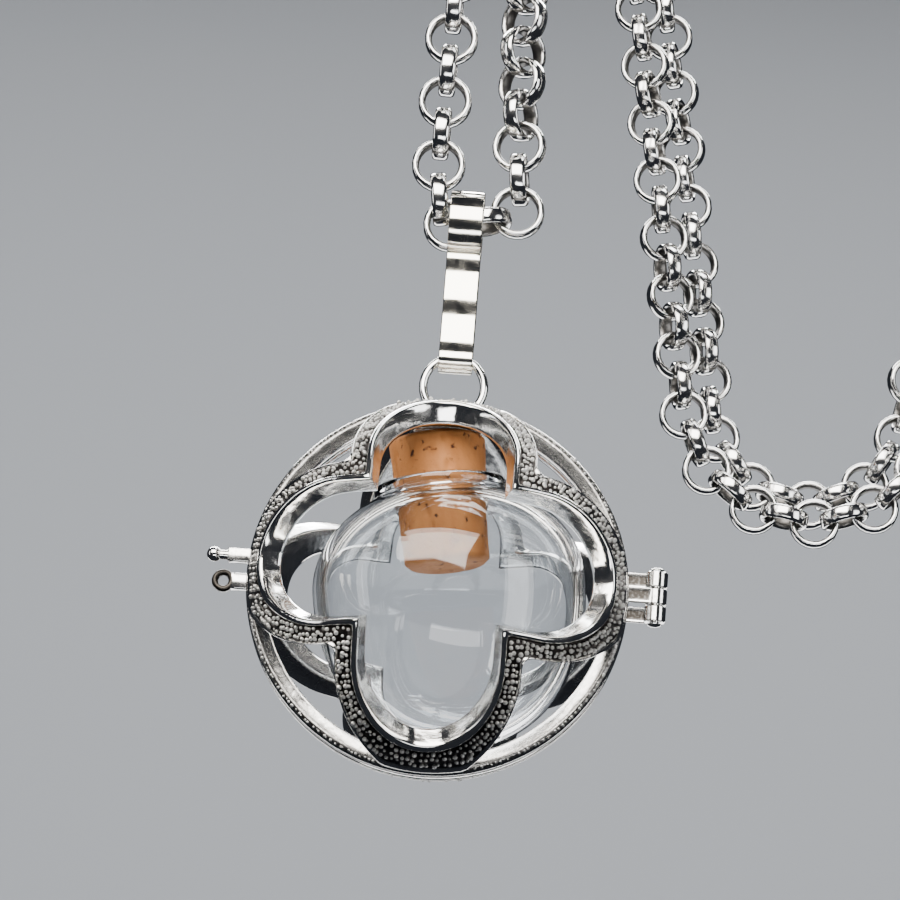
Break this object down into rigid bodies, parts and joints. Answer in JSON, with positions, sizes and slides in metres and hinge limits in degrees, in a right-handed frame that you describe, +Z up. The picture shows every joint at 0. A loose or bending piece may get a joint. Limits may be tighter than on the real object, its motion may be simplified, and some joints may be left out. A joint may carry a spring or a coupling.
{
  "type": "clover cage locket necklace",
  "caption": "Round hinged cage locket with clover windows around a corked glass globe bottle, hung by a folded bail on a belcher chain.",
  "frame": {"origin": "on the axis of the hidden bar that holds the draped chain, straight above and 15 mm behind the bail; the bar is not built", "axes": "+Z up as it hangs, +X to the viewer's right, +Y away from the viewer, so the locket's front faces -Y; the bar runs along X"},
  "size_m": [0.0673, 0.0486, 0.091],
  "materials": {
    "front_shell": "bright plated casting, darkened in its grooves",
    "back_shell": "bright plated casting, darkened in its grooves",
    "hinge_pin": "bright plated wire",
    "bottle": "clear blown glass",
    "cork": "plain cork with dark pits",
    "bail": "bright plated strip",
    "chain": "bright plated links",
    "clasp": "bright plated casting"
  },
  "bodies": {
    "necklace": {"chain": "chain", "clasp": "clasp"},
    "bail": {"bail": "bail"},
    "locket": {"back_shell": "back_shell", "hinge_pin": "hinge_pin", "bottle": "bottle", "cork": "cork"},
    "door": {"front_shell": "front_shell"}
  },
  "joints": [
    {"name": "bail_swing", "type": "hinge", "parent": "necklace", "child": "bail", "pos_m": [0, -0.015, -0.0302], "axis": [1, 0, 0], "range_deg": [-40, 15]},
    {"name": "locket_swing", "type": "hinge", "parent": "bail", "child": "locket", "pos_m": [0, -0.015, -0.04054], "axis": [1, 0, 0], "range_deg": [-45, 25]},
    {"name": "door_hinge", "type": "hinge", "parent": "locket", "child": "door", "pos_m": [0.0158, -0.0154, -0.0574], "axis": [0, 0, 1], "range_deg": [0, 120]}
  ]
}
